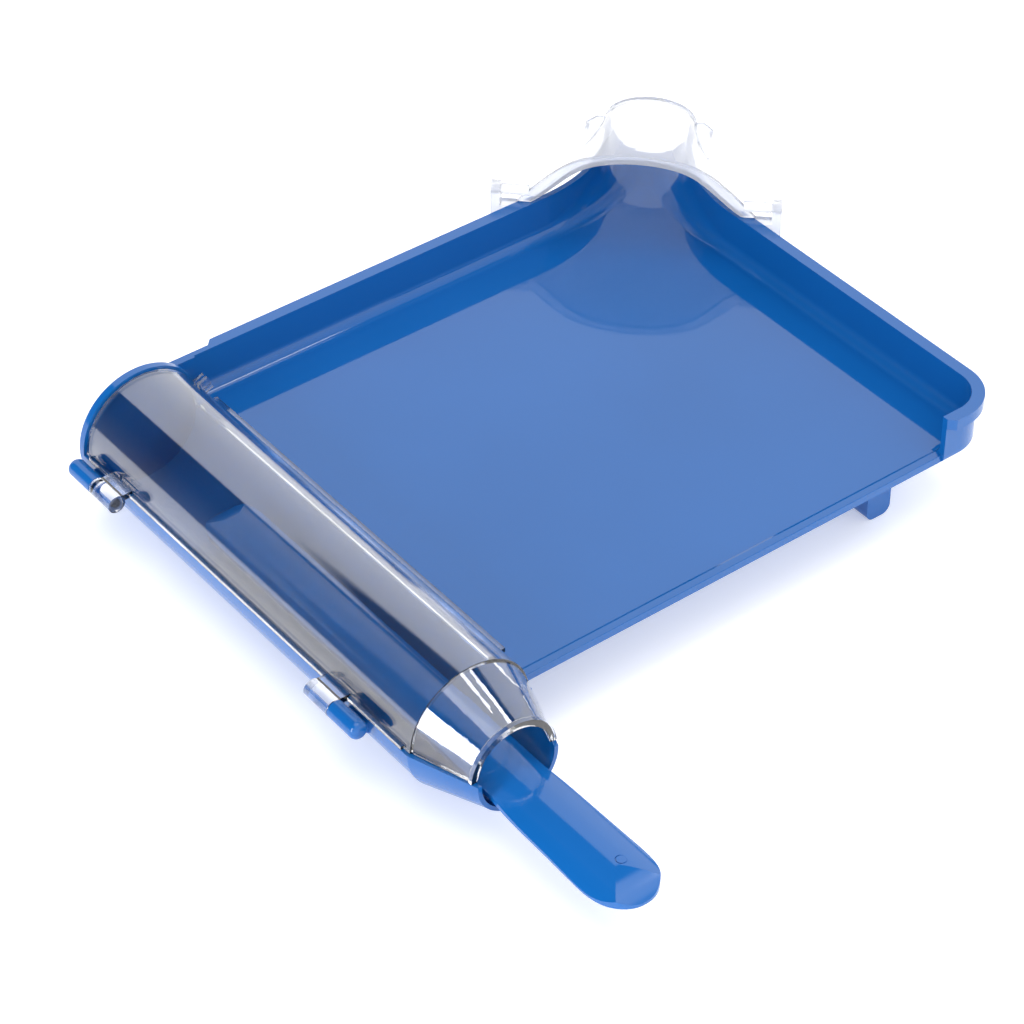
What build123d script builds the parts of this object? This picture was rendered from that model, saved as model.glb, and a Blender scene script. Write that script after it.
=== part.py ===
from build123d import *
import math
import os

# Tablet counting tray: a moulded deck with two raised walls, a half-round storage trough
# with a hinged clear lid, a pouring spout on the far corner with a hinged clear cover,
# and a loose spatula lying in the trough.
#
# Frame: millimetres, +Z up. The origin is on the table plane, under the middle of the whole
# set as it is put away, with the spatula in the trough.
# +X runs from the trough to the side wall, +Y from the open pouring edge to the far wall.

# ---- deck and walls ----
DECK_Z = 24.0  # height of the deck's top face above the table
DECK_T = 2.2  # deck thickness
X_RIM = 112.1  # outer edge of the side wall's rim
Y_RIM = 120.3  # outer edge of the far wall's rim
Y_OPEN = -56.0  # open pouring edge
WALL_H = 15.7  # wall height above the deck
WALL_T = 2.0
RIM_W = 4.3  # width of the flat rim, wall included
RIM_DROP = 4.0  # depth of the rim's outer band
FOOT_R = 4.2  # concave foot where a wall meets the deck
X_WALL = X_RIM - RIM_W  # inner face of the side wall
Y_WALL = Y_RIM - RIM_W  # inner face of the far wall
RIM_X0 = -74.1  # the far wall's rim starts here
LINK_W = 9.6  # plain wall that joins the far wall to the trough's end wall
END_R = 12.1  # inner plan radius where the side wall turns round the near corner
END_Y = -43.0  # centre of that radius
X_END = 88.5  # end of the turned wall
LIP_W = 3.6  # raised lip along the pouring edge
LIP_H = 0.5
FOOT_X = 73.0  # feet
FOOT_YS = (-39.5, 94.0)
FOOT_W = 10.0
FOOT_L = 12.0

# ---- storage trough ----
TR_X = -103.7  # trough axis
TR_Z = DECK_Z - 0.4
TR_RO = 22.8  # outer radius of the lower half
TR_RI = 20.8
SPLIT_Z = 23.3  # top edge of the lower half
Y_RING = -61.0  # where the trough starts to narrow
Y_MOUTH = -84.0  # front of the lower half's mouth
MOUTH_Z = 22.4  # centre height of the mouth
MOUTH_RO = 14.6
MOUTH_RI = 13.2
Y_TREND = 112.2  # inner face of the trough's end wall
TREND_T = 3.0
X_LEG = TR_X + TR_RO  # the deck starts here
PAD_YS = (-48.0, 92.0)
PAD_W = 12.0
PAD_L = 10.0

# ---- trough lid ----
LID_RO = 21.8
LID_RI = 20.3
LID_STEP = 0.5  # the tapered mouth starts this much inside the barrel
LID_Z = 23.6  # lower edge of the lid
LID_GAP = 0.3
LID_Y0 = -82.0  # front of the lid's mouth
LID_MRO = 14.7
LID_MRI = 13.3
FLANGE_X = -77.5  # outer edge of the flange over the deck
FLANGE_Y0 = -43.8
FLANGE_Y1 = 109.0
FLANGE_Z = DECK_Z + 0.3
FLANGE_T = 1.5
TAB_R = 25.5  # reach of the two small finger tabs from the trough's axis
TAB_T = 1.2
TAB_W = 5.0
TAB_TILT = -23
TAB_BACKS = (3.4, 1.2)  # their distances from the lid's far end
HINGE_X = -131.3
HINGE_Z = 23.2
KNUCKLE_R = 3.1
PIN_R = 1.6
PIN_FIT = 0.05
KNUCKLE_L = 11.5
SOCKET_L = 13.2
HINGES = ((97.3, 1), (-32.0, -1))  # plane between the two knuckles, and the side of the socket
PIN_L = 8.0

# ---- corner spout ----
SPOUT_IN = 33.9  # from the cover's arch plane out to the corner of the inner wall faces
SPOUT_D0 = 4.0  # the walls end and the spout begins here
SPOUT_D1 = 28.0
SPOUT_D2 = 54.0  # mouth of the spout
SPOUT_W1 = 15.8  # inner half-widths
SPOUT_W2 = 13.9
# Sections at SPOUT_D1 and SPOUT_D2: half-width, corner radii across and up, floor above the deck.
SPOUT_OUTER = ((SPOUT_W1 + WALL_T, 11.0, 12.6, -1.9), (SPOUT_W2 + WALL_T, 15.6, 14.4, -0.6))
SPOUT_INNER = ((SPOUT_W1, 10.0, 11.0, 0.3), (SPOUT_W2, 13.6, 12.4, 1.4))
SPOUT_BEAD = (SPOUT_W2 + WALL_T + 0.6, 16.0, 14.9, -1.1)  # thickened end of the spout
SPOUT_BEAD_L = 2.2
DIAG = Vector(1, 1, 0).normalized()
SPOUT_O = Vector(X_WALL, Y_WALL, 0) - DIAG * SPOUT_IN

# ---- spout cover ----
CV_Z = DECK_Z + WALL_H + 0.3  # underside of the cover
CV_D2 = 53.6
AX_Z = DECK_Z + 20.2  # pivot axis, in the arch plane
ARM_R = 1.9
ARM_L0 = 36.6
ARM_L0F = 38.6
ARM_L1 = 46.1  # the arms end here, short of the brackets' posts
JOURNAL_R = 1.4
POST_L0 = 46.5
POST_L1 = 49.7
POST_R = 2.9
POST_Z0 = DECK_Z + 5.0
SHELF_D0 = 2.4
SHELF_D1 = 2.4
RIM_L0 = SPOUT_IN + RIM_W * math.sqrt(2)
ARCH = (0.71, 0.51, 0.25)  # flanks of the arch, of its band, of the dome and of its mouth
BAND = (0.745, 0.53, 0.24)
DOME = (0.80, 0.55, 0.26)
ROUND = (0.87, 0.61, 0.29)
# Sections of the cover: distance out, half-width, height, flanks.
COVER_OUTER = ((0, 37.4, 19.7, ARCH), (SPOUT_D1, 23.4, 14.6, DOME), (CV_D2, 15.6, 9.4, ROUND))
COVER_INNER = ((0, 35.8, 18.2, ARCH), (SPOUT_D1, 21.8, 13.1, DOME), (CV_D2, 14.1, 7.9, ROUND))
BAND_L = 1.6  # the arch's raised band, half of it in front of the arch plane
BAND_SIZE = (40.6, 21.3)
BAND_HOLE = (35.9, 18.3)
MOUTH_SIZE = (16.4, 10.1)  # bead round the cover's mouth
MOUTH_L = 1.8
EAR_T = 1.5
EAR_POINTS = (
    (-22.4, 31.0), (-22.4, 48.5), (-19.0, 52.6), (19.0, 52.6), (22.4, 48.5), (22.4, 31.0),
)
SKIRT_POINTS = ((21.2, 32.0), (22.4, 32.0), (22.4, 48.5), (21.2, 48.5))
SKIRT_H = 7.0

# ---- spatula ----
SP_Y0 = -142.5  # end of the handle
SP_Y1 = 69.0  # tip of the blade
SP_Z = 15.4  # underside at the middle
SP_T = 4.4
SP_W = 19.4  # blade width, which passes through the trough's mouth
SP_EDGE = 0.8
SP_CROWN_W = 11.6
SP_HOLLOW = 3.0  # the underside is hollowed by this much
SP_END = 14.0  # length over which the handle's end rounds down
SP_ROLL = 2.0  # it lies in the trough rolled towards the outer side by this angle
SP_TIP = 9.0  # length over which the blade's tip rounds down
MARK_X = 2.4  # round gate mark near the handle's end
MARK_Y = -128.0
MARK_R = 1.8
MARK_DEPTH = 0.4
HANDLE_POINTS = (
    (9.7, -84.0), (10.3, -90.0), (11.0, -107.0), (11.5, -122.0), (11.2, -131.6), (9.2, -137.1), (5.5, -140.9),
    (0, -142.5),
)

os.makedirs("parts", exist_ok=True)


def spout_plane(d):
    """Vertical plane across the spout at distance d; its Y axis is up."""
    return Plane(origin=SPOUT_O + DIAG * d, x_dir=(-1, 1, 0), z_dir=(1, 1, 0))


def u_sketch(d, half_w, rx, rz, z_bottom):
    """Closed U profile of the spout on its plane, closed along the wall top."""
    top = DECK_Z + WALL_H
    with BuildSketch(spout_plane(d)) as sk:
        with BuildLine():
            Line((-half_w, top), (-half_w, z_bottom + rz))
            EllipticalCenterArc((-half_w + rx, z_bottom + rz), rx, rz, 180, arc_size=90)
            Line((-half_w + rx, z_bottom), (half_w - rx, z_bottom))
            EllipticalCenterArc((half_w - rx, z_bottom + rz), rx, rz, 270, arc_size=90)
            Line((half_w, z_bottom + rz), (half_w, top))
            Line((half_w, top), (-half_w, top))
        make_face()
    return sk.sketch


def spout_section(d, section):
    """U profile at distance d from a row of section sizes."""
    half_w, rx, rz, rise = section
    return u_sketch(d, half_w, rx, rz, DECK_Z + rise)


def arch_sketch(d, half_w, height, flank):
    """Arched section of the cover: flank gives the widths at 50, 80 and 96 percent of the height."""
    pts = [(half_w, CV_Z)]
    for share, rise in zip(flank, (0.5, 0.8, 0.96)):
        pts.append((half_w * share, CV_Z + height * rise))
    left = [(-p[0], p[1]) for p in pts]
    with BuildSketch(spout_plane(d)) as sk:
        with BuildLine():
            Spline(*(left + [(0, CV_Z + height)] + pts[::-1]))
            Line(pts[0], left[0])
        make_face()
    return sk.sketch


def wall_profile(plane):
    """Section of a wall: x outward from the inner face, y height above the deck."""
    with BuildSketch(plane) as sk:
        with BuildLine():
            Line((-FOOT_R, -DECK_T), (0.0, -DECK_T))
            heel = (WALL_T * 0.707, -DECK_T + WALL_T * 0.293)
            ThreePointArc((0.0, -DECK_T), heel, (WALL_T, -DECK_T + WALL_T))
            Line((WALL_T, -DECK_T + WALL_T), (WALL_T, WALL_H))
            Line((WALL_T, WALL_H), (0.0, WALL_H))
            Line((0.0, WALL_H), (0.0, FOOT_R))
            ThreePointArc((0.0, FOOT_R), (-FOOT_R * 0.293, FOOT_R * 0.293), (-FOOT_R, 0.0))
            Line((-FOOT_R, 0.0), (-FOOT_R, -DECK_T))
        make_face()
    return sk.sketch


def rim_profile(plane):
    """Section of the rim band outside the wall."""
    with BuildSketch(plane) as sk:
        with Locations(((WALL_T + RIM_W) / 2, WALL_H - RIM_DROP / 2)):
            Rectangle(RIM_W - WALL_T, RIM_DROP)
    return sk.sketch


def level_sketch(z, points):
    """Closed outline on a level plane in the spout's frame: (offset across, distance out)."""
    flat = Plane(origin=SPOUT_O + Vector(0, 0, z), x_dir=(-1, 1, 0), z_dir=(0, 0, 1))
    with BuildSketch(flat) as sk:
        with BuildLine():
            Polyline(*[(lat, -d) for lat, d in points], close=True)
        make_face()
    return sk.sketch


def side_plane(lat):
    """Plane square to the pivot axis, at offset lat along it; its Y axis is up."""
    along_pivot = Vector(-1, 1, 0).normalized()
    return Plane(origin=SPOUT_O + along_pivot * lat, x_dir=(-1, -1, 0), z_dir=(-1, 1, 0))


def round_bar(lat, radius, z=AX_Z):
    """Round section across the spout's arch plane, its normal along the pivot axis."""
    with BuildSketch(side_plane(lat)) as sk:
        with Locations((0, z)):
            Circle(radius)
    return sk.sketch


def foot_block(lat):
    """Section of the arch's foot under the pivot arm."""
    with BuildSketch(side_plane(lat)) as sk:
        with Locations((0, CV_Z)):
            Rectangle(BAND_L, AX_Z - CV_Z, align=(Align.CENTER, Align.MIN))
    return sk.sketch


def across(y):
    """Plane across the trough at y: local x is +X, local y is +Z, normal towards -Y."""
    return Plane(origin=(0, y, 0), x_dir=(1, 0, 0), z_dir=(0, -1, 0))


def disc(y, x, z, radius):
    """Round section on a plane across the trough."""
    with BuildSketch(across(y)) as sk:
        with Locations((x, z)):
            Circle(radius)
    return sk.sketch


cut_plane = spout_plane(SPOUT_D0)
y_out = END_Y - END_R  # inner face of the turned end of the side wall

# ---- deck: flat panel with a raised lip along the pouring edge ----
with BuildPart() as deck:
    with BuildSketch(Plane.XY.offset(DECK_Z - DECK_T)):
        with BuildLine():
            x_in = X_WALL - FOOT_R
            y_in = Y_WALL - FOOT_R
            r_in = END_R - FOOT_R
            bend = (x_in - r_in * 0.293, END_Y - r_in * 0.707)
            Line((X_LEG, Y_OPEN), (X_END, Y_OPEN))
            Line((X_END, Y_OPEN), (X_END, END_Y - r_in))
            Line((X_END, END_Y - r_in), (x_in - r_in, END_Y - r_in))
            ThreePointArc((x_in - r_in, END_Y - r_in), bend, (x_in, END_Y))
            Line((x_in, END_Y), (x_in, y_in))
            Line((x_in, y_in), (X_LEG, y_in))
            Line((X_LEG, y_in), (X_LEG, Y_OPEN))
        make_face()
    extrude(amount=DECK_T)
    with BuildSketch(Plane(origin=(X_LEG, Y_OPEN, DECK_Z), x_dir=(0, 1, 0), z_dir=(1, 0, 0))):
        with BuildLine():
            Line((0, -DECK_T), (0, LIP_H - 0.2))
            ThreePointArc((0, LIP_H - 0.2), (0.06, LIP_H - 0.06), (0.2, LIP_H))
            Line((0.2, LIP_H), (LIP_W - 1.0, LIP_H))
            Line((LIP_W - 1.0, LIP_H), (LIP_W, 0))
            Line((LIP_W, 0), (LIP_W, -DECK_T))
            Line((LIP_W, -DECK_T), (0, -DECK_T))
        make_face()
    extrude(amount=X_END - X_LEG)
    split(bisect_by=cut_plane, keep=Keep.BOTTOM)
deck.part.label = "deck"
export_step(deck.part, "parts/deck.step")

# ---- far wall: from the trough's end wall to the spout ----
with BuildPart() as far_wall:
    far_plane = Plane(origin=(X_LEG, Y_WALL, DECK_Z), x_dir=(0, 1, 0), z_dir=(1, 0, 0))
    extrude(wall_profile(far_plane), amount=X_WALL - FOOT_R - X_LEG)
    extrude(rim_profile(far_plane.offset(RIM_X0 - X_LEG)), amount=X_WALL - RIM_X0)
    with BuildSketch(Plane.XY.offset(DECK_Z - DECK_T)):
        with Locations((X_LEG, (Y_TREND + TREND_T + Y_WALL + WALL_T) / 2)):
            Rectangle(LINK_W, Y_WALL + WALL_T - Y_TREND - TREND_T, align=(Align.MAX, Align.CENTER))
    extrude(amount=DECK_T + WALL_H)
    rim_end = far_wall.edges().filter_by(Axis.Z).sort_by(Axis.X).sort_by(Axis.Y)[-2:].sort_by(Axis.X)[0]
    chamfer(rim_end, length=RIM_W - WALL_T - 0.05)
    split(bisect_by=cut_plane, keep=Keep.BOTTOM)
far_wall.part.label = "far_wall"
export_step(far_wall.part, "parts/far_wall.step")

# ---- side wall: along the right edge and round the near corner ----
with BuildPart() as side_wall:
    top_plane = Plane(origin=(X_WALL, Y_WALL, DECK_Z), x_dir=(1, 0, 0), z_dir=(0, -1, 0))
    turn_plane = Plane(origin=(X_WALL, END_Y, DECK_Z), x_dir=(1, 0, 0), z_dir=(0, -1, 0))
    end_plane = Plane(origin=(X_WALL - END_R, y_out, DECK_Z), x_dir=(0, -1, 0), z_dir=(-1, 0, 0))
    turn_axis = Axis((X_WALL - END_R, END_Y, 0), (0, 0, 1))
    end_l = X_WALL - END_R - X_END
    extrude(wall_profile(top_plane), amount=Y_WALL - END_Y)
    extrude(rim_profile(top_plane), amount=Y_WALL - END_Y)
    revolve(wall_profile(turn_plane), axis=turn_axis, revolution_arc=-90)
    revolve(rim_profile(turn_plane), axis=turn_axis, revolution_arc=-90)
    extrude(wall_profile(end_plane), amount=end_l)
    extrude(rim_profile(end_plane), amount=end_l)
    tip = side_wall.edges().filter_by(Axis.Z).group_by(Axis.Y)[0].sort_by(Axis.X)[0]
    chamfer(tip, length=RIM_W - WALL_T - 0.05)
    split(bisect_by=cut_plane, keep=Keep.BOTTOM)
side_wall.part.label = "side_wall"
export_step(side_wall.part, "parts/side_wall.step")

# ---- corner spout: open channel that narrows from the two walls to a round mouth ----
with BuildPart() as spout:
    foot = FOOT_R * math.sqrt(2)
    half_0 = SPOUT_IN - SPOUT_D0
    wall_0 = WALL_T * math.sqrt(2)
    outer = [u_sketch(SPOUT_D0, half_0 + wall_0, wall_0, WALL_T, DECK_Z - DECK_T)]
    outer += [spout_section(d, SPOUT_OUTER[i]) for i, d in enumerate((SPOUT_D1, SPOUT_D2))]
    inner = [u_sketch(SPOUT_D0, half_0, foot, FOOT_R, DECK_Z)]
    inner += [spout_section(d, SPOUT_INNER[i]) for i, d in enumerate((SPOUT_D1, SPOUT_D2))]
    loft(outer)
    loft(inner, mode=Mode.SUBTRACT)
    extrude(spout_section(SPOUT_D2, SPOUT_BEAD), amount=-SPOUT_BEAD_L)
    loft(inner, mode=Mode.SUBTRACT)
spout.part.label = "spout"
export_step(spout.part, "parts/spout.step")

# ---- trough: lower half shell ----
with BuildPart() as trough_shell:
    with BuildSketch(across(Y_TREND)):
        with Locations((TR_X, TR_Z)):
            Circle(TR_RO)
            Circle(TR_RI, mode=Mode.SUBTRACT)
        with Locations((TR_X, SPLIT_Z)):
            Rectangle(2.2 * TR_RO, TR_RO + 2, align=(Align.CENTER, Align.MIN), mode=Mode.SUBTRACT)
        with Locations((X_LEG, SPLIT_Z - 1)):
            Rectangle(TR_RO - TR_RI, DECK_Z - SPLIT_Z + 1, align=(Align.MAX, Align.MIN))
    extrude(amount=Y_TREND - Y_RING)
trough_shell.part.label = "trough_shell"
export_step(trough_shell.part, "parts/trough_shell.step")

# ---- trough: round end wall ----
with BuildPart() as trough_end:
    extrude(disc(Y_TREND, TR_X, TR_Z, TR_RO), amount=-TREND_T)
    fillet(trough_end.edges().sort_by(Axis.Y)[-1], radius=0.8)
trough_end.part.label = "trough_end"
export_step(trough_end.part, "parts/trough_end.step")

# ---- trough: lower half of the tapered mouth ----
with BuildPart() as trough_funnel:
    loft([disc(Y_RING, TR_X, TR_Z, TR_RO), disc(Y_MOUTH, TR_X, MOUTH_Z, MOUTH_RO)])
    loft([disc(Y_RING, TR_X, TR_Z, TR_RI), disc(Y_MOUTH, TR_X, MOUTH_Z, MOUTH_RI)], mode=Mode.SUBTRACT)
    split(bisect_by=Plane.XY.offset(SPLIT_Z), keep=Keep.BOTTOM)
trough_funnel.part.label = "trough_funnel"
export_step(trough_funnel.part, "parts/trough_funnel.step")

# ---- feet under the side wall's edge of the deck ----
with BuildPart() as feet:
    for foot_y in FOOT_YS:
        with BuildSketch(across(foot_y + FOOT_L / 2)):
            with Locations((FOOT_X, 0)):
                Rectangle(FOOT_W, DECK_Z - DECK_T, align=(Align.CENTER, Align.MIN))
        extrude(amount=FOOT_L)
    fillet(feet.edges().filter_by(Axis.Y).group_by(Axis.Z)[0], radius=3.2)
feet.part.label = "feet"
export_step(feet.part, "parts/feet.step")

# ---- low pads under the trough ----
with BuildPart() as trough_pads:
    for pad_y in PAD_YS:
        with BuildSketch(Plane.XY):
            with Locations((TR_X, pad_y)):
                Rectangle(PAD_W, PAD_L)
        extrude(amount=3.0)
    extrude(disc(Y_TREND, TR_X, TR_Z, TR_RO), amount=Y_TREND - Y_RING, mode=Mode.SUBTRACT)
trough_pads.part.label = "trough_pads"
export_step(trough_pads.part, "parts/trough_pads.step")

# ---- hinge sockets for the trough lid, bracketed to the trough's outer side ----
with BuildPart() as lid_sockets:
    for split_y, way in HINGES:
        extrude(disc(split_y, HINGE_X, HINGE_Z, KNUCKLE_R), amount=-way * SOCKET_L)
    rings = lid_sockets.edges().filter_by(GeomType.CIRCLE).sort_by(Axis.Y)
    fillet([rings[0], rings[-1]], radius=2.2)
    for split_y, way in HINGES:
        with BuildSketch(across(split_y)) as web_sk:
            with BuildLine():
                Polyline(
                    (HINGE_X, HINGE_Z - KNUCKLE_R + 0.1),
                    (HINGE_X, HINGE_Z - 1.7),
                    (TR_X - TR_RI - 1.0, HINGE_Z - 1.7),
                    (TR_X - TR_RI - 1.0, HINGE_Z - KNUCKLE_R - 3.0),
                    close=True,
                )
            make_face()
        extrude(web_sk.sketch, amount=-way * (SOCKET_L - 4.0))
        bore = disc(split_y, HINGE_X, HINGE_Z, PIN_R + PIN_FIT)
        extrude(bore, amount=-way * (PIN_L + 0.6), mode=Mode.SUBTRACT)
    extrude(disc(Y_TREND, TR_X, TR_Z, TR_RO), amount=Y_TREND - Y_RING, mode=Mode.SUBTRACT)
lid_sockets.part.label = "lid_sockets"
export_step(lid_sockets.part, "parts/lid_sockets.step")

# ---- clear trough lid: upper half shell, tapered mouth, deck flange, knuckles and pins ----
with BuildPart() as trough_lid:
    far_y = Y_TREND - LID_GAP
    with BuildSketch(across(far_y)):
        with Locations((TR_X, TR_Z)):
            Circle(LID_RO)
    extrude(amount=far_y - Y_RING)
    loft([disc(Y_RING, TR_X, TR_Z, LID_RO - LID_STEP), disc(LID_Y0, TR_X, MOUTH_Z, LID_MRO)])
    extrude(disc(LID_Y0, TR_X, MOUTH_Z, LID_MRO + 0.9), amount=-1.6)
    with BuildSketch(Plane.XY.offset(FLANGE_Z)):
        with Locations((FLANGE_X, FLANGE_Y0)):
            Rectangle(6.0, FLANGE_Y1 - FLANGE_Y0, align=(Align.MAX, Align.MIN))
    extrude(amount=FLANGE_T)
    with BuildSketch(Plane.XY.offset(LID_Z)):
        with Locations((TR_X - LID_RO - 1.1, Y_RING + 3)):
            Rectangle(3.0, far_y - Y_RING - 6, align=(Align.MIN, Align.MIN))
    extrude(amount=1.2)
    for tab_back in TAB_BACKS:
        with Locations(Pos(TR_X, far_y - tab_back, TR_Z) * Rot(0, TAB_TILT, 0)):
            Box(TAB_R, TAB_T, TAB_W, align=(Align.MIN, Align.CENTER, Align.CENTER))
    for split_y, way in HINGES:
        extrude(disc(split_y - way * LID_GAP, HINGE_X, HINGE_Z, KNUCKLE_R), amount=way * KNUCKLE_L)
        extrude(disc(split_y, HINGE_X, HINGE_Z, PIN_R), amount=-way * PIN_L)
        extrude(disc(split_y, HINGE_X, HINGE_Z, PIN_R), amount=way * 1.0)
        with BuildSketch(Plane.XY.offset(LID_Z)):
            with Locations((HINGE_X, split_y - way * (LID_GAP + KNUCKLE_L / 2))):
                Rectangle(TR_X - LID_RI - 0.7 - HINGE_X, KNUCKLE_L, align=(Align.MIN, Align.CENTER))
        extrude(amount=2.2)
    extrude(disc(far_y, TR_X, TR_Z, LID_RI), amount=far_y - Y_RING, mode=Mode.SUBTRACT)
    loft([disc(Y_RING, TR_X, TR_Z, LID_RI - 0.2), disc(LID_Y0, TR_X, MOUTH_Z, LID_MRI)], mode=Mode.SUBTRACT)
    with BuildSketch(Plane.XY.offset(LID_Z)):
        with Locations((TR_X - LID_RO - 0.5, Y_RING - 24)):
            Rectangle(60, far_y - Y_RING + 26, align=(Align.MIN, Align.MIN))
    extrude(amount=-30, mode=Mode.SUBTRACT)
    with BuildSketch(Plane.XY.offset(FLANGE_Z)):
        with Locations((TR_X, Y_RING - 1.0)):
            Rectangle(60, far_y - Y_RING + 2, align=(Align.MIN, Align.MIN))
    extrude(amount=-30, mode=Mode.SUBTRACT)
trough_lid.part.label = "trough_lid"
export_step(trough_lid.part, "parts/trough_lid.step")

# ---- clear spout cover: arch band, dome that narrows to the mouth, side arms and skirts ----
with BuildPart() as spout_cover:
    loft([arch_sketch(*section) for section in COVER_OUTER])
    extrude(arch_sketch(-BAND_L / 2, *BAND_SIZE, BAND), amount=BAND_L)
    extrude(arch_sketch(CV_D2, *MOUTH_SIZE, ROUND), amount=-MOUTH_L)
    extrude(level_sketch(CV_Z, EAR_POINTS), amount=EAR_T)
    for side in (-1, 1):
        skirt = [(side * lat, d) for lat, d in SKIRT_POINTS]
        extrude(level_sketch(CV_Z + EAR_T, skirt), amount=-SKIRT_H)
        extrude(round_bar(side * ARM_L0, ARM_R), amount=side * (ARM_L1 - ARM_L0))
        extrude(round_bar(side * (ARM_L1 - 1.0), JOURNAL_R), amount=side * (POST_L1 - ARM_L1 + 0.4))
        extrude(foot_block(side * ARM_L0), amount=side * (ARM_L0F - ARM_L0))
    loft([arch_sketch(*section) for section in COVER_INNER], mode=Mode.SUBTRACT)
    extrude(arch_sketch(-BAND_L / 2, *BAND_HOLE, ARCH), amount=BAND_L / 2, mode=Mode.SUBTRACT)
spout_cover.part.label = "spout_cover"
export_step(spout_cover.part, "parts/spout_cover.step")

# ---- clear pivot brackets: a post outside each wall that carries the cover's journal ----
for side, name in ((1, "bracket_left"), (-1, "bracket_right")):
    with BuildPart() as bracket:
        corners = ((POST_L0, -POST_R), (POST_L1, -POST_R), (POST_L1, POST_R), (POST_L0, POST_R))
        post = [(side * lat, d) for lat, d in corners]
        extrude(level_sketch(POST_Z0, post), amount=AX_Z - POST_Z0)
        extrude(round_bar(side * POST_L0, POST_R), amount=side * (POST_L1 - POST_L0))
        shelf = [
            (side * (RIM_L0 + SHELF_D0), -SHELF_D0),
            (side * (RIM_L0 - SHELF_D1), SHELF_D1),
            (side * POST_L0, SHELF_D1),
            (side * POST_L0, -SHELF_D0),
        ]
        extrude(level_sketch(DECK_Z + WALL_H - RIM_DROP, shelf), amount=RIM_DROP - 1.0)
        bearing = round_bar(side * POST_L0, JOURNAL_R + PIN_FIT)
        extrude(bearing, amount=side * (POST_L1 - POST_L0), mode=Mode.SUBTRACT)
    bracket.part.label = name
    export_step(bracket.part, "parts/" + name + ".step")

# ---- spatula: crowned handle and blade with a hollow underside ----
with BuildPart() as spatula:
    with BuildSketch(Plane(origin=(TR_X, 0, SP_Z))):
        with BuildLine():
            half = SP_W / 2
            Line((half, Y_MOUTH), (half, SP_Y1 - half))
            ThreePointArc((half, SP_Y1 - half), (0, SP_Y1), (-half, SP_Y1 - half))
            Line((-half, SP_Y1 - half), (-half, Y_MOUTH))
            Spline(*[(-w, y) for w, y in HANDLE_POINTS], tangents=((-0.1, -1), (1, 0)))
            Spline(*[(w, y) for w, y in HANDLE_POINTS], tangents=((0.1, -1), (-1, 0)))
        make_face()
    extrude(amount=SP_T)
    with BuildSketch(Plane(origin=(TR_X, SP_Y1 + 1, SP_Z), x_dir=(1, 0, 0), z_dir=(0, -1, 0))) as crown_sk:
        with BuildLine():
            ThreePointArc((-SP_CROWN_W, SP_EDGE), (0, SP_T), (SP_CROWN_W, SP_EDGE))
            Polyline((SP_CROWN_W, SP_EDGE), (SP_CROWN_W, 0), (-SP_CROWN_W, 0), (-SP_CROWN_W, SP_EDGE))
        make_face()
    extrude(crown_sk.sketch, amount=SP_Y1 - SP_Y0 + 2, mode=Mode.INTERSECT)
    with BuildSketch(Plane(origin=(TR_X - 15, 0, SP_Z), x_dir=(0, 1, 0), z_dir=(1, 0, 0))) as side_sk:
        with BuildLine():
            Line((SP_Y0, 0), (SP_Y1, 0))
            Line((SP_Y1, 0), (SP_Y1, SP_EDGE))
            ThreePointArc((SP_Y1, SP_EDGE), (SP_Y1 - SP_TIP / 2, SP_T - 1.0), (SP_Y1 - SP_TIP, SP_T))
            Line((SP_Y1 - SP_TIP, SP_T), (SP_Y0 + SP_END, SP_T))
            ThreePointArc((SP_Y0 + SP_END, SP_T), (SP_Y0 + SP_END / 2, SP_T - 0.82), (SP_Y0, SP_EDGE + 0.2))
            Line((SP_Y0, SP_EDGE + 0.2), (SP_Y0, 0))
        make_face()
    extrude(side_sk.sketch, amount=30, mode=Mode.INTERSECT)
    hollow_plane = Plane(origin=(TR_X, SP_Y1 - SP_TIP, SP_Z), x_dir=(1, 0, 0), z_dir=(0, -1, 0))
    with BuildSketch(hollow_plane) as hollow_sk:
        with BuildLine():
            ThreePointArc((-SP_W / 2 + 0.6, 0), (0, SP_HOLLOW), (SP_W / 2 - 0.6, 0))
            Line((SP_W / 2 - 0.6, 0), (-SP_W / 2 + 0.6, 0))
        make_face()
    extrude(hollow_sk.sketch, amount=SP_Y1 - SP_TIP - SP_Y0 - SP_END, mode=Mode.SUBTRACT)
    with BuildSketch(Plane(origin=(TR_X, MARK_Y, SP_Z + SP_T))) as mark_sk:
        with Locations((MARK_X, 0)):
            Circle(MARK_R)
            Circle(MARK_R - 0.3, mode=Mode.SUBTRACT)
    extrude(mark_sk.sketch, amount=-MARK_DEPTH, mode=Mode.SUBTRACT)
spatula.part = spatula.part.rotate(Axis((TR_X, 0, SP_Z), (0, 1, 0)), -SP_ROLL)
spatula.part.label = "spatula"
export_step(spatula.part, "parts/spatula.step")
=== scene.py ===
import math

import bpy
from mathutils import Matrix, Vector

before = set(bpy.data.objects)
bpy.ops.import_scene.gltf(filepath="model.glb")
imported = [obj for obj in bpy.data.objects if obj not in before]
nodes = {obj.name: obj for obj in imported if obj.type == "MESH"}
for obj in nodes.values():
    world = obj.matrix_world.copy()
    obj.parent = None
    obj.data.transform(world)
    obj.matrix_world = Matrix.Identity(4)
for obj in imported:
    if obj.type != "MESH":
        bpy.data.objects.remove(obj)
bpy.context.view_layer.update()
scene = bpy.context.scene

# ---------------------------------------------------------------- materials

# The middle of a noise's range, stretched over the whole of what it drives.
NOISE_LOW, NOISE_HIGH = 0.3, 0.7

# Noise scales, in each piece's own coordinates (metres).
TINT_SCALE = 14.0
SCUFF_SCALE = 60.0
GRAIN_SCALE = 900.0
HAZE_SCALE = 40.0
WAVE_SCALE = 22.0

BLUE_IOR = 1.52
GRAIN_DEPTH = 0.00005

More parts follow.
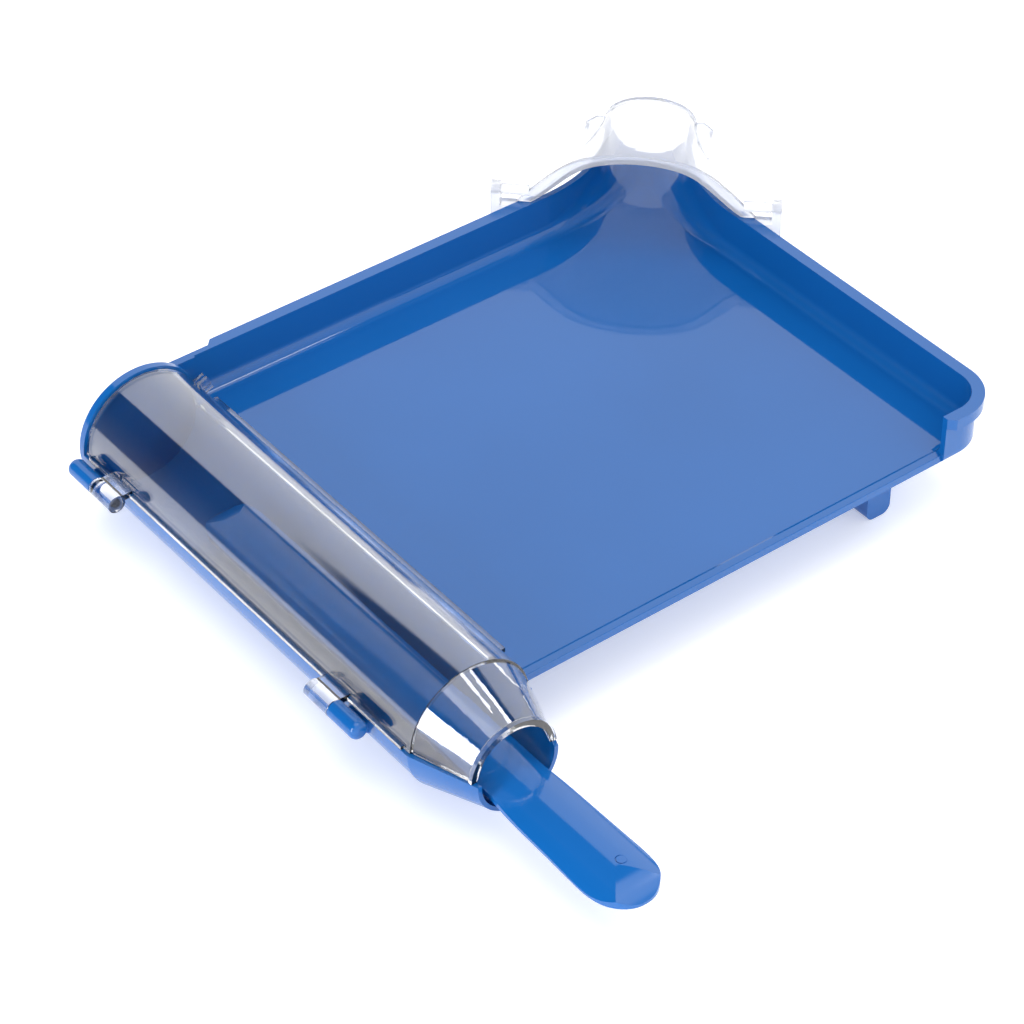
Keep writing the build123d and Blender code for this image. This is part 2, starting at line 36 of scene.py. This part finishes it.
CLEAR_IOR = 1.5
COAT_IOR = 1.6
COAT_ROUGHNESS = 0.01
HAZE_LOW, HAZE_HIGH = 0.005, 0.02
WAVE_STRENGTH = 0.05
WAVE_DEPTH = 0.0001


def new_material(name):
    mat = bpy.data.materials.new(name)
    mat.use_nodes = True
    tree = mat.node_tree
    return mat, tree, tree.nodes["Principled BSDF"]


def noise(tree, scale, detail, coords):
    node = tree.nodes.new("ShaderNodeTexNoise")
    node.inputs["Scale"].default_value = scale
    node.inputs["Detail"].default_value = detail
    tree.links.new(coords, node.inputs["Vector"])
    return node.outputs["Fac"]


def map_range(tree, source, low, high):
    node = tree.nodes.new("ShaderNodeMapRange")
    node.inputs["From Min"].default_value = NOISE_LOW
    node.inputs["From Max"].default_value = NOISE_HIGH
    node.inputs["To Min"].default_value = low
    node.inputs["To Max"].default_value = high
    tree.links.new(source, node.inputs["Value"])
    return node.outputs["Result"]


def bump(tree, bsdf, height, strength, depth):
    node = tree.nodes.new("ShaderNodeBump")
    node.inputs["Strength"].default_value = strength
    node.inputs["Distance"].default_value = depth
    tree.links.new(height, node.inputs["Height"])
    tree.links.new(node.outputs["Normal"], bsdf.inputs["Normal"])


def blue_plastic(name, dark, light, rough_low, rough_high, grain_strength):
    mat, tree, bsdf = new_material(name)
    coords = tree.nodes.new("ShaderNodeTexCoord").outputs["Object"]
    ramp = tree.nodes.new("ShaderNodeValToRGB")
    ramp.color_ramp.elements[0].position = NOISE_LOW
    ramp.color_ramp.elements[0].color = (*dark, 1)
    ramp.color_ramp.elements[1].position = NOISE_HIGH
    ramp.color_ramp.elements[1].color = (*light, 1)
    tree.links.new(noise(tree, TINT_SCALE, 2.0, coords), ramp.inputs["Fac"])
    tree.links.new(ramp.outputs["Color"], bsdf.inputs["Base Color"])
    scuff = noise(tree, SCUFF_SCALE, 5.0, coords)
    tree.links.new(map_range(tree, scuff, rough_low, rough_high), bsdf.inputs["Roughness"])
    bump(tree, bsdf, noise(tree, GRAIN_SCALE, 2.0, coords), grain_strength, GRAIN_DEPTH)
    bsdf.inputs["IOR"].default_value = BLUE_IOR
    return mat


def clear_plastic(name, tone, clarity, coat):
    mat, tree, bsdf = new_material(name)
    coords = tree.nodes.new("ShaderNodeTexCoord").outputs["Object"]
    bsdf.inputs["Base Color"].default_value = (*tone, 1)
    bsdf.inputs["Transmission Weight"].default_value = clarity
    bsdf.inputs["IOR"].default_value = CLEAR_IOR
    bsdf.inputs["Coat Weight"].default_value = coat
    bsdf.inputs["Coat IOR"].default_value = COAT_IOR
    bsdf.inputs["Coat Roughness"].default_value = COAT_ROUGHNESS
    haze = noise(tree, HAZE_SCALE, 4.0, coords)
    tree.links.new(map_range(tree, haze, HAZE_LOW, HAZE_HIGH), bsdf.inputs["Roughness"])
    bump(tree, bsdf, noise(tree, WAVE_SCALE, 2.0, coords), WAVE_STRENGTH, WAVE_DEPTH)
    return mat


tray_blue = blue_plastic("tray_blue", (0.004, 0.102, 0.365), (0.006, 0.112, 0.395), 0.03, 0.07, 0.04)
spatula_blue = blue_plastic("spatula_blue", (0.004, 0.115, 0.41), (0.006, 0.125, 0.44), 0.06, 0.11, 0.05)
lid_clear = clear_plastic("lid_clear", (0.975, 0.98, 1.0), 1.0, 0.7)
hood_clear = clear_plastic("hood_clear", (0.925, 0.94, 0.985), 0.7, 0.0)

# The spout's cover and the two brackets it turns in are the same clear plastic.
HOOD = ("spout_cover", "bracket_left", "bracket_right")
for name, node in nodes.items():
    if name == "trough_lid":
        mat = lid_clear
    elif name in HOOD:
        mat = hood_clear
    elif name == "spatula":
        mat = spatula_blue
    else:
        mat = tray_blue
    for slot in node.material_slots:
        slot.material = mat

# ---------------------------------------------------------------- floor

FLOOR_HALF = 4.0
FLOOR_GAP = 0.0002  # keeps the floor just clear of the feet
FLOOR_TONE = 0.93
FLOOR_GLOW = 0.36  # own light, which lifts the floor to white round the tray

floor_mesh = bpy.data.meshes.new("floor")
floor_corners = [(x * FLOOR_HALF, y * FLOOR_HALF, 0) for x, y in ((-1, -1), (1, -1), (1, 1), (-1, 1))]
floor_mesh.from_pydata(floor_corners, [], [(0, 1, 2, 3)])
floor = bpy.data.objects.new("floor", floor_mesh)
floor.matrix_world = Matrix.Translation((0, 0, -FLOOR_GAP))
scene.collection.objects.link(floor)
floor_mat, _, floor_bsdf = new_material("floor_white")
floor_bsdf.inputs["Base Color"].default_value = (FLOOR_TONE, FLOOR_TONE, FLOOR_TONE, 1)
floor_bsdf.inputs["Roughness"].default_value = 0.7
floor_bsdf.inputs["Specular IOR Level"].default_value = 0.2
floor_bsdf.inputs["Emission Color"].default_value = (1, 1, 1, 1)
floor_bsdf.inputs["Emission Strength"].default_value = FLOOR_GLOW
floor.data.materials.append(floor_mat)

# ---------------------------------------------------------------- studio surround

# A bright sweep behind the tray up to a sharp edge high above it, a dark side to its left, a
# softly lit room in front, and one light overhead that caps all three.
# Each is a row of (height, level) stops. Height is the sine of the elevation.
OVERHEAD = ((0.905, 2.1), (1.0, 2.1))
SWEEP = ((0.0, 1.1), (0.15, 1.25), (0.4, 1.5), (0.77, 1.6), (0.785, 0.12), (0.89, 0.12), *OVERHEAD)
DARK = ((0.0, 0.2), (0.5, 0.05), (0.74, 0.05), (0.89, 0.1), *OVERHEAD)
FRONT = ((0.0, 1.5), (0.5, 1.3), (0.74, 1.1), (0.89, 0.9), *OVERHEAD)
# Where the sweep and the dark side lie, as (azimuth, share) stops. Azimuth is in turns:
# 0 towards -Y, 0.25 towards +X, 0.5 towards +Y and 0.75 towards -X.
SWEEP_SIDE = ((0.0, 0.0), (0.20, 0.0), (0.22, 1.0), (0.54, 1.0), (0.546, 0.0), (1.0, 0.0))
DARK_SIDE = ((0.0, 0.0), (0.54, 0.0), (0.546, 1.0), (0.80, 1.0), (0.83, 0.0), (1.0, 0.0))
SURROUND_MAX = 4.0  # the ramps hold levels as shares of this
FULL_TURN = 2 * math.pi

world = bpy.data.worlds.new("studio")
world.use_nodes = True
world_tree = world.node_tree
background = world_tree.nodes["Background"]


def world_ramp(source, stops, scale):
    node = world_tree.nodes.new("ShaderNodeValToRGB")
    elements = node.color_ramp.elements
    for index, (place, level) in enumerate(stops):
        stop = elements[index] if index < 2 else elements.new(place)
        stop.position = place
        share = level / scale
        stop.color = (share, share, share, 1)
    world_tree.links.new(source, node.inputs["Fac"])
    return node.outputs["Color"]


def world_math(operation, first, second):
    node = world_tree.nodes.new("ShaderNodeMath")
    node.operation = operation
    for socket, value in zip(node.inputs, (first, second)):
        if isinstance(value, float):
            socket.default_value = value
        else:
            world_tree.links.new(value, socket)
    return node.outputs["Value"]


def world_mix(fac, first, second):
    node = world_tree.nodes.new("ShaderNodeMixRGB")
    world_tree.links.new(fac, node.inputs["Fac"])
    world_tree.links.new(first, node.inputs["Color1"])
    world_tree.links.new(second, node.inputs["Color2"])
    return node.outputs["Color"]


direction = world_tree.nodes.new("ShaderNodeTexCoord")
split_xyz = world_tree.nodes.new("ShaderNodeSeparateXYZ")
world_tree.links.new(direction.outputs["Generated"], split_xyz.inputs["Vector"])
toward_minus_y = world_math("MULTIPLY", split_xyz.outputs["Y"], -1.0)
angle = world_math("ARCTAN2", split_xyz.outputs["X"], toward_minus_y)
signed_turns = world_math("DIVIDE", angle, FULL_TURN)
turns = world_math("FRACT", world_math("ADD", signed_turns, 1.0), 0.0)
sweep = world_ramp(split_xyz.outputs["Z"], SWEEP, SURROUND_MAX)
dark = world_ramp(split_xyz.outputs["Z"], DARK, SURROUND_MAX)
front = world_ramp(split_xyz.outputs["Z"], FRONT, SURROUND_MAX)
with_sweep = world_mix(world_ramp(turns, SWEEP_SIDE, 1.0), front, sweep)
surround = world_mix(world_ramp(turns, DARK_SIDE, 1.0), with_sweep, dark)
world_tree.links.new(surround, background.inputs["Color"])
background.inputs["Strength"].default_value = SURROUND_MAX
scene.world = world


# ---------------------------------------------------------------- lamps

LAMP_DISTANCE = 1.5
LAMP_SIZE = (0.13, 0.13)
LAMP_POWER = 0.55
HANDLE = (-0.1, -0.13, 0.02)  # the spatula's handle, where the two small lamps aim
PANEL_SIZE = (0.45, 0.95)
PANEL_POWER = 16
TROUGH = (-0.1, -0.07, 0.03)


def softbox(name, target, azimuth, elevation, size, power):
    """Rectangular lamp aimed at target. Azimuth goes from -Y towards +X, in degrees."""
    a, e = math.radians(azimuth), math.radians(elevation)
    away = Vector((math.sin(a) * math.cos(e), -math.cos(a) * math.cos(e), math.sin(e)))
    light = bpy.data.lights.new(name, "AREA")
    light.shape = "RECTANGLE"
    light.size, light.size_y = size
    light.energy = power
    obj = bpy.data.objects.new(name, light)
    obj.location = Vector(target) + away * LAMP_DISTANCE
    obj.rotation_euler = away.to_track_quat("Z", "Y").to_euler()
    scene.collection.objects.link(obj)


softbox("panel_left", TROUGH, -90, 14, PANEL_SIZE, PANEL_POWER)
softbox("lamp_high", HANDLE, 100, 79, LAMP_SIZE, LAMP_POWER)
softbox("lamp_side", HANDLE, 90, 63, LAMP_SIZE, LAMP_POWER)

# ---------------------------------------------------------------- camera

AZIMUTH, ELEVATION = math.radians(-37.79), math.radians(40.18)
CAMERA_PLACE = (-0.53898, -0.64228, 0.71686)
LENS = 120.93
SENSOR = 36.0

flat = math.cos(ELEVATION)
back = Vector((math.sin(AZIMUTH) * flat, -math.cos(AZIMUTH) * flat, math.sin(ELEVATION)))
right = Vector((math.cos(AZIMUTH), math.sin(AZIMUTH), 0))
up = back.cross(right)
camera_data = bpy.data.cameras.new("camera")
camera_data.sensor_width = SENSOR
camera_data.lens = LENS
camera = bpy.data.objects.new("camera", camera_data)
turn = Matrix((right, up, back)).transposed().to_4x4()
camera.matrix_world = Matrix.Translation(CAMERA_PLACE) @ turn
scene.collection.objects.link(camera)
scene.camera = camera
scene.view_settings.view_transform = "Standard"
